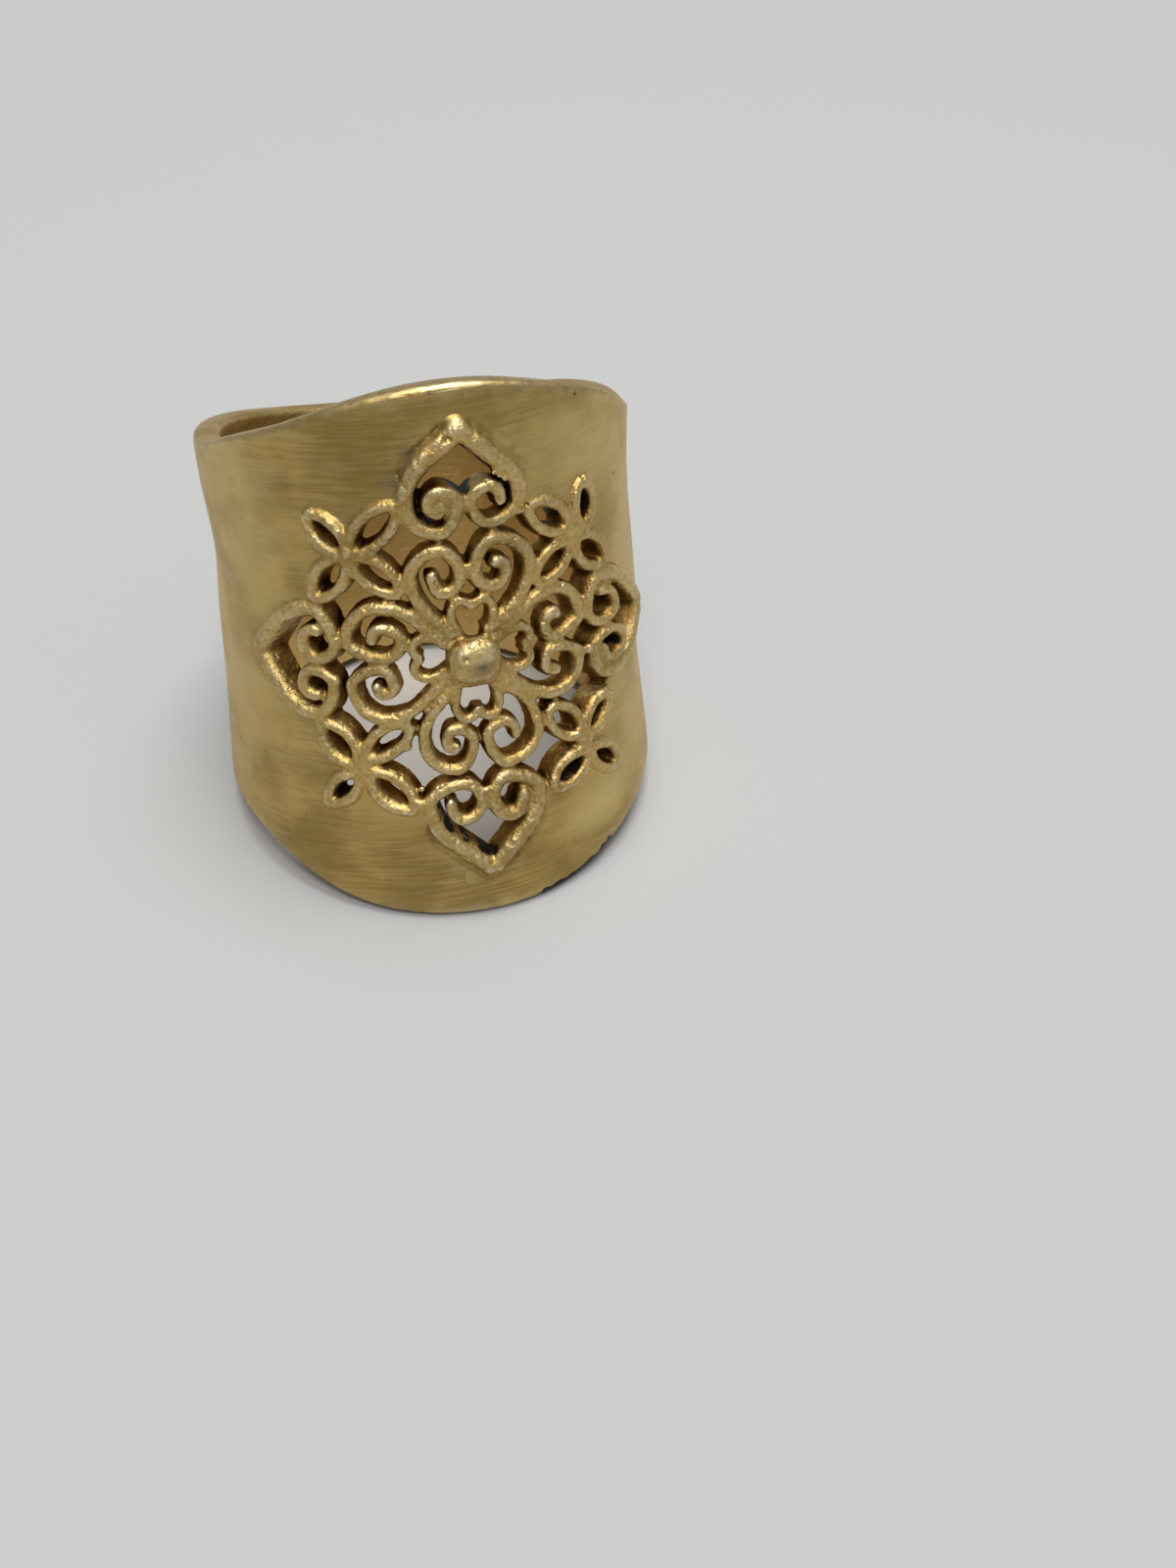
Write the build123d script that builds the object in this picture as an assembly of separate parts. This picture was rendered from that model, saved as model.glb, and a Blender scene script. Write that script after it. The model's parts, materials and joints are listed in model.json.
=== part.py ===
from build123d import *

import math
import os

# A cigar band ring with a pierced filigree medallion on its front, cast and soldered into one piece.
# It lies on its lower rim, as a ring lies on a table, so its bore leans back from the viewer.
# Until it is laid down, the bore runs along Z through the origin and the medallion faces -Y.
# All lengths are in mm and all angles in degrees.

# Band
bore_radius = 9.15
wall = 1.25
front_height = 25.5
side_height = 17.8
back_height = 14.0
rim_round = 0.35

# Medallion on the band
medallion_rise = 0.3
medallion_relief = 0.32
dish_depth = 0.5
dish_length = 17.0
solder_overlap = 0.08
smallest_opening = 0.1

# Wires
flank_wire = 0.86
lobe_wire = 0.72
scroll_wire = 0.6
petal_wire = 0.42
leaf_wire = 0.48
scroll_end = 0.72

# Four outer hearts, tip outwards
outer_tip = 10.47
outer_length = 4.52
outer_half_width = 2.42
outer_shoulder = 1.75

# Four inner hearts, open at the middle
inner_root = 1.15
inner_root_half = 0.75
inner_half_width = 2.62
inner_shoulder = 2.55

# Four small heart petals round the boss
petal_root = 0.8
petal_root_half = 0.32
petal_tip = 2.66
petal_half_width = 0.96
petal_shoulder = 1.2
petal_notch = 0.33

# Corner flowers of four open leaves
flower_offset = 5.2
leaf_root = 0.25
leaf_half_width = 0.56
outward_leaf = 2.4
side_leaf = 3.15
inward_leaf = 3.3

# Boss in the middle
boss_base_half = 1.05
boss_base_round = 0.3
boss_radius = 0.95
boss_height = 0.75

# The curve of an outer heart after its shoulder. Across is a share of the half width and along is a share
# of the heart's length from its tip. The heading turns a quarter from each row to the next.
OUTER_CURVE = (
    # name, across, along, wire
    ("widest", 1.000, 0.668, flank_wire),
    ("lobe", 0.545, 1.000, lobe_wire),
    ("seam", None, 0.757, scroll_wire),
    ("scroll_top", 0.446, 0.562, scroll_wire),
    ("scroll_side", 0.628, 0.675, scroll_wire),
    ("curl", 0.496, 0.757, scroll_wire),
)

# The curve of an inner heart after its shoulder, with along counted from its root.
INNER_CURVE = (
    # name, across, along, wire
    ("widest", 1.000, 0.665, scroll_wire),
    ("lobe", 0.527, 1.000, scroll_wire),
    ("seam", None, 0.725, scroll_wire),
    ("scroll_foot", 0.389, 0.506, scroll_wire),
    ("scroll_side", 0.634, 0.641, scroll_wire),
    ("curl", 0.477, 0.748, scroll_wire),
)

# The curve of a petal after its shoulder, with along counted from its root.
PETAL_CURVE = (
    # name, across, along, wire
    ("widest", 1.000, 0.670, petal_wire),
    ("lobe", 0.560, 1.000, petal_wire),
)

# The four leaves of a flower.
LEAVES = (
    # name, degrees from +X in the upper right flower, length
    ("outward", 45, outward_leaf),
    ("towards_top_heart", 135, side_leaf),
    ("inward", 225, inward_leaf),
    ("towards_side_heart", 315, side_leaf),
)

band_radius = bore_radius + wall
seam_half = (scroll_wire - solder_overlap) / 2
inner_top = outer_tip - outer_length - (lobe_wire + scroll_wire) / 2 + solder_overlap
QUARTERS = 4
RIM_STEPS = 24


# Flat pattern: a trail is a list of points (x, y, heading in radians, wire width), with the middle
# of an arc between every two ends.


def oval_quarter(start, end, heading, turn, wires):
    """The middle and end points of the two tangent eighth-turn arcs from start to end."""
    ahead = (math.cos(heading), math.sin(heading))
    inward = (-turn * ahead[1], turn * ahead[0])
    step = (end[0] - start[0], end[1] - start[1])
    along = step[0] * ahead[0] + step[1] * ahead[1]
    across = step[0] * inward[0] + step[1] * inward[1]
    diagonal = math.sqrt(0.5)
    rest = 1 - diagonal
    first = (diagonal * along - rest * across) / (diagonal - rest)
    second = (diagonal * across - rest * along) / (diagonal - rest)
    trail = []
    for eighth in (1, 2, 3, 4):
        angle = eighth * math.pi / 8
        bend = min(angle, math.pi / 4)
        a = first * math.sin(bend) + second * (math.sin(angle) - math.sin(bend))
        b = first * (1 - math.cos(bend)) + second * (math.cos(bend) - math.cos(angle))
        x = start[0] + a * ahead[0] + b * inward[0]
        y = start[1] + a * ahead[1] + b * inward[1]
        width = wires[0] + (wires[1] - wires[0]) * eighth / 4
        trail.append((x, y, heading + turn * angle, width))
    return trail


def heart_side(root, shoulder, curve):
    """The right side of a heart: a straight flank, a round shoulder, then quarter by quarter inwards."""
    widest_x, widest_y, wire = curve[0]
    up = math.copysign(1, widest_y - root[1])
    centre = (widest_x - shoulder, widest_y)
    away = (root[0] - centre[0], root[1] - centre[1])
    reach = math.hypot(*away)
    touch = math.atan2(away[1], away[0]) + up * math.acos(shoulder / reach)
    flank_heading = touch + up * math.pi / 2
    trail = [(root[0], root[1], flank_heading, wire)]
    middle = touch / 2
    x_touch = centre[0] + shoulder * math.cos(touch)
    y_touch = centre[1] + shoulder * math.sin(touch)
    trail.append(((root[0] + x_touch) / 2, (root[1] + y_touch) / 2, flank_heading, wire))
    trail.append((x_touch, y_touch, flank_heading, wire))
    x_middle = centre[0] + shoulder * math.cos(middle)
    y_middle = centre[1] + shoulder * math.sin(middle)
    trail.append((x_middle, y_middle, middle + up * math.pi / 2, wire))
    trail.append((widest_x, widest_y, up * math.pi / 2, wire))
    heading = up * math.pi / 2
    for here, there in zip(curve[:-1], curve[1:]):
        trail += oval_quarter(here[:2], there[:2], heading, up, (here[2], there[2]))
        heading += up * math.pi / 2
    return trail


def place_curve(rows, half_width, root, length):
    """The rows of a curve table as points, with the seam beside the heart's middle line."""
    points = []
    for name, across, along, wire in rows:
        x = seam_half if across is None else across * half_width
        points.append((x, root + along * length, wire))
    return points


def mirrored(trail):
    """The same trail on the other side of the heart."""
    return [(-x, y, math.pi - heading, width) for x, y, heading, width in trail]


def turned(trail, quarter):
    """The trail turned about the medallion's middle by a number of quarter turns."""
    angle = quarter * math.pi / 2
    c, s = round(math.cos(angle)), round(math.sin(angle))
    return [(c * x - s * y, s * x + c * y, heading + angle, width) for x, y, heading, width in trail]


def arc_edge(start, middle, end):
    """An arc through three points, or a line where they are in line."""
    start, middle, end = Vector(*start), Vector(*middle), Vector(*end)
    if abs((middle - start).cross(end - middle).length) < 1e-6:
        return Edge.make_line(start, end)
    return Edge.make_three_point_arc(start, middle, end)


def facing_up(face):
    """The same flat face with its normal along +Z."""
    return face if face.normal_at().Z > 0 else -face


def stroke(trail):
    """The flat outline of a wire laid along a trail, with round ends."""
    sides = []
    for side in (1, -1):
        sides.append(
            [
                (x - side * width / 2 * math.sin(heading), y + side * width / 2 * math.cos(heading))
                for x, y, heading, width in trail
            ]
        )
    left, right = sides
    caps = []
    for (x, y, heading, width), way in ((trail[-1], 1), (trail[0], -1)):
        caps.append((x + way * width / 2 * math.cos(heading), y + way * width / 2 * math.sin(heading)))
    edges = []
    for i in range(0, len(trail) - 1, 2):
        edges.append(arc_edge(left[i], left[i + 1], left[i + 2]))
        edges.append(arc_edge(right[i], right[i + 1], right[i + 2]))
    edges.append(arc_edge(left[-1], caps[0], right[-1]))
    edges.append(arc_edge(right[0], caps[1], left[0]))
    return facing_up(Face(Wire(edges)))


def dot(trail, diameter):
    """The round blob that ends a scroll."""
    x, y = trail[-1][:2]
    return facing_up(Face(Wire(Edge.make_circle(diameter / 2)))).moved(Location((x, y, 0)))


def joined(faces):
    """Flat faces fused into one sketch."""
    return Sketch() + faces


def outer_heart():
    """The strokes of the outer heart above the middle."""
    curve = place_curve(OUTER_CURVE, outer_half_width, outer_tip, -outer_length)
    side = heart_side((0, outer_tip), outer_shoulder, curve)
    faces = []
    for trail in (side, mirrored(side)):
        faces += [stroke(trail), dot(trail, scroll_end)]
    return faces


def inner_heart():
    """The strokes of the inner heart above the middle."""
    curve = place_curve(INNER_CURVE, inner_half_width, inner_root, inner_top - inner_root)
    side = heart_side((inner_root_half, inner_root), inner_shoulder, curve)
    faces = []
    for trail in (side, mirrored(side)):
        faces += [stroke(trail), dot(trail, scroll_end)]
    return faces


def petal():
    """The strokes of the small heart petal above the middle."""
    curve = place_curve(PETAL_CURVE, petal_half_width, petal_root, petal_tip - petal_root)
    side = heart_side((petal_root_half, petal_root), petal_shoulder, curve)
    x, y, heading, width = side[-1]
    dip = math.atan2(petal_notch, x)
    chord = math.hypot(x, petal_notch)
    bulge = chord / 2 * math.tan(dip / 2)
    x_middle = x / 2 - bulge * math.sin(dip)
    y_middle = y - petal_notch / 2 + bulge * math.cos(dip)
    side.append((x_middle, y_middle, heading + dip, width))
    side.append((0, y - petal_notch, heading + 2 * dip, width))
    return [stroke(side), stroke(mirrored(side))]


def flower():
    """The strokes of the flower up and to the right of the middle."""
    faces = []
    for name, degrees, length in LEAVES:
        angle = math.radians(degrees)
        ahead = (math.cos(angle), math.sin(angle))
        half = (length - leaf_root) / 2
        swing = 2 * math.atan(leaf_half_width / half)
        for side in (1, -1):
            trail = []
            for share, lift in ((-1, 0), (0, 1), (1, 0)):
                along = leaf_root + half * (1 + share)
                across = side * leaf_half_width * lift
                x = flower_offset + along * ahead[0] - across * ahead[1]
                y = flower_offset + along * ahead[1] + across * ahead[0]
                trail.append((x, y, angle - side * swing * share, leaf_wire))
            faces.append(stroke(trail))
    return faces


def all_quarters(sketch):
    """Four copies of a sketch round the medallion's middle."""
    return [sketch.rotate(Axis.Z, 360 / QUARTERS * quarter) for quarter in range(QUARTERS)]


def boss_base():
    """The square with soft corners under the boss."""
    return RectangleRounded(2 * boss_base_half, 2 * boss_base_half, boss_base_round)


# On the band: a flat point (x, y) lies at the angle x / band_radius from the front and at the height y
# above the medallion's middle, and every wall runs straight towards the bore's axis.


def corner_points(wire):
    """The start, middle and end of each edge of a wire, in order round it."""
    loose = [tuple(edge.position_at(t) for t in (0, 0.5, 1)) for edge in wire.edges()]
    chain = [loose.pop(0)]
    while loose:
        end = chain[-1][2]
        nearest = min(loose, key=lambda e: min((e[0] - end).length, (e[2] - end).length))
        loose.remove(nearest)
        if (nearest[0] - end).length > (nearest[2] - end).length:
            nearest = nearest[::-1]
        chain.append(nearest)
    if len(chain) > 1 and (chain[0][2] - chain[1][0]).length > (chain[0][0] - chain[1][0]).length:
        chain[0] = chain[0][::-1]
    return chain


def radial_block(wire, inside, outside):
    """A block whose flat outline is laid on the band and whose walls run towards the bore's axis."""
    chain = corner_points(wire)
    low = min(p.X for row in chain for p in row)
    high = max(p.X for row in chain for p in row)
    centre = (low + high) / 2
    facing = centre / band_radius
    out = Vector(math.sin(facing), -math.cos(facing), 0)
    across = Vector(math.cos(facing), math.sin(facing), 0)
    sections = []
    for radius in (inside, outside):
        edges = []
        for row in chain:
            points = []
            for p in row:
                shift = radius * math.tan((p.X - centre) / band_radius)
                points.append(out * radius + across * shift + Vector(0, 0, p.Y + medallion_rise))
            edges.append(arc_edge(*[tuple(p) for p in points]))
        sections.append(Wire(edges))
    return Solid.make_loft(sections, ruled=True)


def rim_half_height(facing):
    """Half the band's height where the cosine of the angle from the front is facing."""
    if facing > 0:
        return (side_height + (front_height - side_height) * facing**2) / 2
    return (side_height - (side_height - back_height) * facing**2) / 2


def rim_curve(radius, side):
    """The line of the upper rim (side 1) or the lower rim (side -1) at a radius."""
    points = []
    for i in range(RIM_STEPS):
        turn = 2 * math.pi * i / RIM_STEPS
        x, y = radius * math.sin(turn), -radius * math.cos(turn)
        points.append(Vector(x, y, side * rim_half_height(math.cos(turn))))
    return Edge.make_spline(points, periodic=True)


def band():
    """The plain band: widest at the front, narrowest at the back, with rounded rims."""
    inside, outside = bore_radius - wall / 2, band_radius + wall / 2
    corners = [(inside, -1), (outside, -1), (outside, 1), (inside, 1)]
    curves = [rim_curve(radius, side) for radius, side in corners]
    faces = [Face.make_surface_from_curves(curves[i - 1], curves[i]) for i in range(4)]
    trimmed = Solid(Shell(faces))
    tube = Cylinder(band_radius, 2 * front_height) - Cylinder(bore_radius, 2 * front_height)
    blank = tube & trimmed
    rims = [e for e in blank.edges() if e.geom_type != GeomType.LINE]
    return fillet(rims, rim_round)


def raised_medallion(outline):
    """The whole medallion before it is pierced, standing proud of the band."""
    face = band_radius + medallion_relief
    core = radial_block(outline, bore_radius / 3, 2 * face)
    return core & (Cylinder(face, 2 * front_height) - Cylinder(bore_radius + wall / 2, 2 * front_height))


def boss():
    """The dome in the middle of the medallion."""
    seat = band_radius + medallion_relief - dish_depth
    ball = (boss_radius**2 + boss_height**2) / (2 * boss_height)
    return Pos(0, -(seat + boss_height - ball), medallion_rise) * Sphere(ball)


def dish():
    """The shallow hollow that the front of the medallion follows from top to bottom."""
    rim = band_radius + medallion_relief
    radius = (dish_length**2 / 4 + dish_depth**2) / (2 * dish_depth)
    middle = rim - dish_depth + radius
    return Pos(0, -middle, medallion_rise) * Rot(0, 90, 0) * Cylinder(radius, 4 * bore_radius)


def filigree():
    """The flat pattern of the whole medallion, as one sheet with its openings."""
    quarter = outer_heart() + inner_heart() + petal() + flower()
    sheets = all_quarters(joined(quarter)) + [boss_base()]
    return joined(sheets).faces().sort_by(SortBy.AREA)[-1]


def openwork_ring():
    """The whole ring about its own axis."""
    pattern = filigree()
    outline = pattern.outer_wire()
    openings = []
    for opening in pattern.inner_wires():
        if Face(opening).area > smallest_opening:
            openings.append(radial_block(opening, bore_radius - wall, band_radius + wall))
    ring = band() + raised_medallion(outline) - dish()
    ring = ring - openings
    return ring + (boss() - Cylinder(bore_radius + wall / 2, front_height))


def resting_lean():
    """The angle at which the lower rim lies flat, on its front and on two places at the back."""
    steps = 60
    front = rim_half_height(1)
    slopes = []
    for i in range(1, steps + 1):
        facing = -i / steps
        run = (band_radius - rim_round) * (1 - facing)
        slopes.append((front - rim_half_height(facing)) / run)
    return math.degrees(math.atan(min(slopes)))


def lay_down(ring):
    """Lean the ring back until it lies on its lower rim, with the origin under the middle of its box."""
    leaned = ring.rotate(Axis.X, -resting_lean())
    box = leaned.bounding_box()
    return leaned.moved(Location((0, -box.center().Y, -box.min.Z)))


os.makedirs("parts", exist_ok=True)
ring = lay_down(openwork_ring())
export_step(ring, "parts/openwork_ring.step")
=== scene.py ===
import functools
import json
import math

import bmesh
import bpy
import numpy as np
from mathutils import Matrix, Vector
from mathutils.bvhtree import BVHTree


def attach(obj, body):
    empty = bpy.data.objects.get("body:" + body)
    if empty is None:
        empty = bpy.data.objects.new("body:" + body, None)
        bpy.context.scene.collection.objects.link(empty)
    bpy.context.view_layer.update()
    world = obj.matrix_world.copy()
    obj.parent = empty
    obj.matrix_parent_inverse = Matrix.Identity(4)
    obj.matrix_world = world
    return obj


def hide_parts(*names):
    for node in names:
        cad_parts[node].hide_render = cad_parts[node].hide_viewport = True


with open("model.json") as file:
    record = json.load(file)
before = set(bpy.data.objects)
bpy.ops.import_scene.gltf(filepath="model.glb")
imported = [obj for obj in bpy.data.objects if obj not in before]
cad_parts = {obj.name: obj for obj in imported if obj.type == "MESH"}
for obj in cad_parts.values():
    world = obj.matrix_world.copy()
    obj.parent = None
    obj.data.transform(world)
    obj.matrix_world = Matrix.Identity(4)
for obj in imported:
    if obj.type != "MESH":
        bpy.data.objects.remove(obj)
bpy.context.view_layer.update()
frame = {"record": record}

bore_mount = frame["record"]["mounts"][0]

# The ring is drawn flat first, in millimetres: x runs round the band from the middle of the front, y runs up
# the band, and z rises from the bore's wall to the outside. It is then wrapped round the bore and laid down.

# Band
bore_radius = 9.15
wall = 1.25
front_height = 25.6
side_height = 17.75
back_height = 14.0
rim_round = 0.3
band_radius = bore_radius + wall

# Medallion: where its middle lies on the band, how far its wires reach, and the hollow across it
medallion_middle = (0.12, 0.30, 0.0)
medallion_reach = 12.5
dish_depth = 0.75
dish_reach = 8.5

# Widths of the wires in the drawing, and how much wider they were cast
flank_wire = 0.88
petal_wire = 0.44
leaf_wire = 0.5
stem_wire = 0.6
wire_swell = 1.14

# Wires are round above. Below, this part of their depth is drawn out into straight walls down to the foot.
straight_part = 0.93
wire_foot = 0.03
foot_flare = 0.14
SWEEP_SIZES = {"Sides": 16}

# How high the wires' tops stand over the band, and how much higher the scrolls' and the flowers' blobs are
HEART_TOPS = {"outer": 0.34, "inner": 0.34}
petal_top = 0.32
leaf_top = 0.28
scroll_blob_rise = 0.02
flower_blob_rise = 0.08

# Inner hearts: how far out from the middle their flanks start, and how far to each side
inner_root = 1.15
inner_root_half = 0.75

# Small heart petals round the boss
petal_root = 0.8
petal_length = 1.86
petal_half_width = 0.96
petal_shoulder = 1.2
petal_lobe_across = 0.56
petal_lobe_along = 0.67

# The boss, out of four lumps. Their feet and tops count from the medallion's hollow.
BOSS = (
    # part, x, y, half across, half along, foot, top, roundness
    ("base", 0.08, -0.16, 1.34, 1.22, -0.45, 0.74, 0.70),
    ("body", 0.10, 0.00, 1.28, 1.16, -0.30, 1.04, 0.88),
    ("crown", 0.14, 0.34, 1.02, 0.76, 0.05, 1.17, 0.95),
    ("knob on the crown's left", -0.36, 0.34, 0.46, 0.44, 0.40, 1.20, 1.0),
    ("knob on the crown's right", 0.58, 0.30, 0.42, 0.40, 0.40, 1.17, 1.0),
)

# Where the outer hearts' tips lie, in the flat drawing
TIPS = {
    "top": (0.0, 10.62),
    "left": (-10.80, 0.02),
    "bottom": (0.20, -10.70),
    "right": (10.72, -0.1),
}

# One row for each half of a heart, measured with the heart turned upright. First comes the radius of its
# shoulder. The scroll's middle lies across from the heart's middle line and along it. The next columns are
# the distances from there to the wire, a quarter turn apart, then how many quarter turns the wire makes after
# its widest place, its width and the width of the blob at its end.
SCROLLS = (
    # heart, place, half, shoulder, across, along,
    # widest, lobe, seam, top, side, curl, core, quarters, wire, end
    ("outer", "top", "left", 2.5, 1.05, 7.45, 1.42, 1.36, 0.83, 0.52, 0.45, 0.38, 0.12, 6.0, 0.60, 0.62),
    ("outer", "top", "right", 1.9, 1.15, 7.40, 1.42, 1.06, 0.78, 0.64, 0.52, 0.42, 0.30, 4.4, 0.52, 0.44),
    ("outer", "left", "right", 2.6, 1.00, 7.30, 1.58, 0.92, 0.82, 0.60, 0.60, 0.36, 0.25, 4.6, 0.56, 0.54),
    ("outer", "left", "left", 2.6, 1.10, 7.55, 1.44, 0.92, 0.70, 0.55, 0.52, 0.35, 0.25, 4.5, 0.52, 0.50),
    ("outer", "bottom", "right", 2.5, 1.00, 7.02, 1.55, 0.92, 0.90, 0.86, 0.58, 0.40, 0.25, 4.1, 0.52, 0.60),
    ("outer", "bottom", "left", 2.6, 1.25, 7.05, 1.48, 0.95, 0.78, 0.93, 0.67, 0.40, 0.25, 4.1, 0.64, 0.62),
    ("outer", "right", "left", 2.2, 1.00, 7.12, 1.42, 0.88, 0.82, 0.76, 0.68, 0.40, 0.25, 4.5, 0.52, 0.50),
    ("outer", "right", "right", 2.4, 1.20, 7.58, 1.32, 1.08, 0.85, 0.80, 0.66, 0.48, 0.30, 5.4, 0.52, 0.48),
    ("inner", "top", "left", 2.55, 1.15, 4.05, 1.41, 1.21, 0.85, 0.80, 0.42, 0.22, 0.15, 4.5, 0.62, 0.66),
    ("inner", "top", "right", 2.55, 1.36, 4.10, 1.70, 1.46, 0.94, 0.80, 0.52, 0.34, 0.22, 5.3, 0.64, 0.60),
    ("inner", "left", "right", 2.55, 1.15, 4.18, 1.58, 1.58, 0.87, 0.92, 0.58, 0.42, 0.25, 5.0, 0.58, 0.56),
    ("inner", "left", "left", 2.55, 1.10, 4.30, 1.60, 1.45, 0.86, 0.52, 0.40, 0.26, 0.15, 5.2, 0.54, 0.56),
    ("inner", "bottom", "right", 2.55, 1.15, 4.00, 1.42, 1.36, 0.92, 0.60, 0.36, 0.30, 0.20, 5.4, 0.54, 0.58),
    ("inner", "bottom", "left", 2.55, 1.34, 4.00, 1.74, 1.38, 0.85, 0.66, 0.56, 0.38, 0.25, 4.5, 0.54, 0.44),
    ("inner", "right", "left", 2.55, 0.95, 4.32, 1.60, 1.42, 0.72, 0.50, 0.44, 0.24, 0.15, 4.6, 0.62, 0.70),
    ("inner", "right", "right", 2.55, 1.00, 4.35, 1.56, 1.30, 0.66, 0.60, 0.46, 0.30, 0.20, 4.1, 0.60, 0.64),
)
# The outer hearts' rows, by place and half
OUTER_HALVES = {row[1:3]: row for row in SCROLLS if row[0] == "outer"}

# The small heart petals round the boss: how each differs from the even one whose sizes stand above
PETALS = (
    # place, shift across, shift along, size, half width at the root, notch
    ("top", 0.18, 0.02, 1.06, 0.50, 0.36),
    ("left", 0.20, 0.05, 1.02, 0.45, 0.42),
    ("bottom", -0.14, 0.06, 1.12, 0.85, 0.58),
    ("right", -0.12, 0.24, 1.04, 0.40, 0.42),
)

# The leaves of the corner flowers, each by its middle in the flat drawing
LEAVES = (
    # flower, leaf, x, y, degrees, half length, half width
    ("upper left", "outward", -6.07, 6.18, 135, 1.18, 0.60),
    ("upper left", "towards the top heart", -3.98, 6.42, 43, 1.62, 0.64),
    ("upper left", "towards the left heart", -6.20, 4.14, 230, 1.36, 0.60),
    ("upper left", "inward", -4.08, 4.28, 319, 1.38, 0.60),
    ("upper right", "outward", 6.08, 6.12, 91, 1.10, 0.56),
    ("upper right", "towards the top heart", 4.12, 6.00, 145, 1.36, 0.62),
    ("upper right", "towards the right heart", 6.56, 3.80, 318, 1.22, 0.66),
    ("upper right", "inward", 4.38, 3.80, 218, 1.28, 0.60),
    ("lower left", "outward", -6.52, -6.20, 225, 1.20, 0.54),
    ("lower left", "towards the left heart", -6.58, -3.98, 129, 1.26, 0.62),
    ("lower left", "inward", -4.30, -3.80, 35, 1.42, 0.58),
    ("lower left", "towards the bottom heart", -4.22, -6.24, 318, 1.38, 0.62),
    ("lower right", "outward", 6.82, -6.80, 320, 1.28, 0.58),
    ("lower right", "towards the right heart", 6.52, -4.42, 42, 1.22, 0.52),
    ("lower right", "inward", 4.58, -4.18, 134, 1.18, 0.64),
    ("lower right", "towards the bottom heart", 4.58, -6.64, 209, 1.26, 0.60),
)

FLOWER_MIDDLES = {
    # flower: x, y, width of its blob
    "upper left": (-5.22, 5.28, 0.62),
    "lower left": (-5.46, -4.96, 0.66),
    "lower right": (5.30, -5.24, 0.70),
    "upper right": (5.22, 5.16, 0.66),
}

# Beads of solder
BEADS = (
    # place, x, y, diameter, height of the top over the band
    ("top heart, right flank", 1.36, 8.58, 0.22, 0.26),
    ("top heart, right flank", 1.60, 8.44, 0.22, 0.28),
    ("top heart, right flank", 1.84, 8.26, 0.26, 0.30),
    ("top heart, tip", -0.05, 10.62, 1.50, 0.27),
    ("top heart, right foot", 2.55, 6.75, 0.60, 0.34),
    ("between the upper lobes", 0.10, 4.42, 0.34, 0.36),
    ("beside the top petal, left", -1.36, 1.92, 0.46, 0.36),
    ("beside the top petal, right", 1.86, 1.74, 0.52, 0.40),
    ("upper right flower, inward leaf", 3.52, 4.02, 0.44, 0.40),
    ("lower left flower, inward leaf", -3.46, -4.05, 0.56, 0.24),
    ("lower left flower, lower leaf", -2.98, -6.86, 0.50, 0.36),
    ("lower left flower, lower leaf", -2.86, -6.15, 0.34, 0.24),
    ("between the bottom heart's scrolls", 0.16, -6.52, 0.36, 0.34),
    ("bottom heart, tip", 0.30, -10.42, 0.62, 0.32),
    ("lower right flower, middle", 4.98, -4.94, 0.50, 0.44),
    ("lower right flower, middle", 5.64, -5.46, 0.44, 0.38),
    ("lower right flower, right leaf", 5.66, -4.32, 0.36, 0.38),
    ("lower right flower, right leaf", 6.74, -4.92, 0.34, 0.30),
    ("right heart, foot", 6.18, -0.92, 0.54, 0.40),
    ("left heart, foot", -6.50, -0.82, 0.50, 0.34),
    ("upper left flower, middle", -5.12, 5.46, 0.52, 0.42),
)

# Small pits and knocks
PITS = (
    # place, x, y, reach, depth, soot in it
    ("boss, in its left knob", -0.40, 0.34, 0.14, 0.26, 0.0),
    ("boss, under its crown", 0.34, -0.28, 0.24, 0.12, 0.0),
    ("top heart, below its tip", -0.55, 10.28, 0.16, 0.16, 0.5),
    ("top heart, below its tip", -0.40, 10.30, 0.12, 0.14, 0.5),
    ("band, upper left", -11.05, 8.00, 0.14, 0.06, 0.5),
    ("band, upper right", 8.30, 8.40, 0.12, 0.06, 0.5),
    ("band, upper right", 9.00, 6.70, 0.10, 0.06, 0.5),
    ("band, lower left", -8.85, -8.20, 0.20, 0.07, 0.5),
    ("band, lower left", -12.30, -8.35, 0.12, 0.05, 0.5),
    ("band, top", -1.90, 12.10, 0.10, 0.03, 0.5),
    ("band, top", -1.55, 12.20, 0.08, 0.03, 0.5),
    ("band, top", -1.05, 12.15, 0.10, 0.03, 0.5),
    ("band, top", 3.70, 11.60, 0.10, 0.04, 0.5),
    ("band, top", 5.30, 11.35, 0.14, 0.05, 0.5),
    ("band, top", 5.85, 11.05, 0.12, 0.05, 0.5),
    ("band, below the bottom heart", 1.90, -10.20, 0.10, 0.05, 0.5),
    ("band, below the bottom heart", 2.10, -9.85, 0.10, 0.05, 0.5),
    ("band, below the lower right flower", 4.40, -7.80, 0.12, 0.06, 0.5),
    ("lower rim, right", 6.90, -11.60, 0.26, 0.07, 0.5),
)

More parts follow.
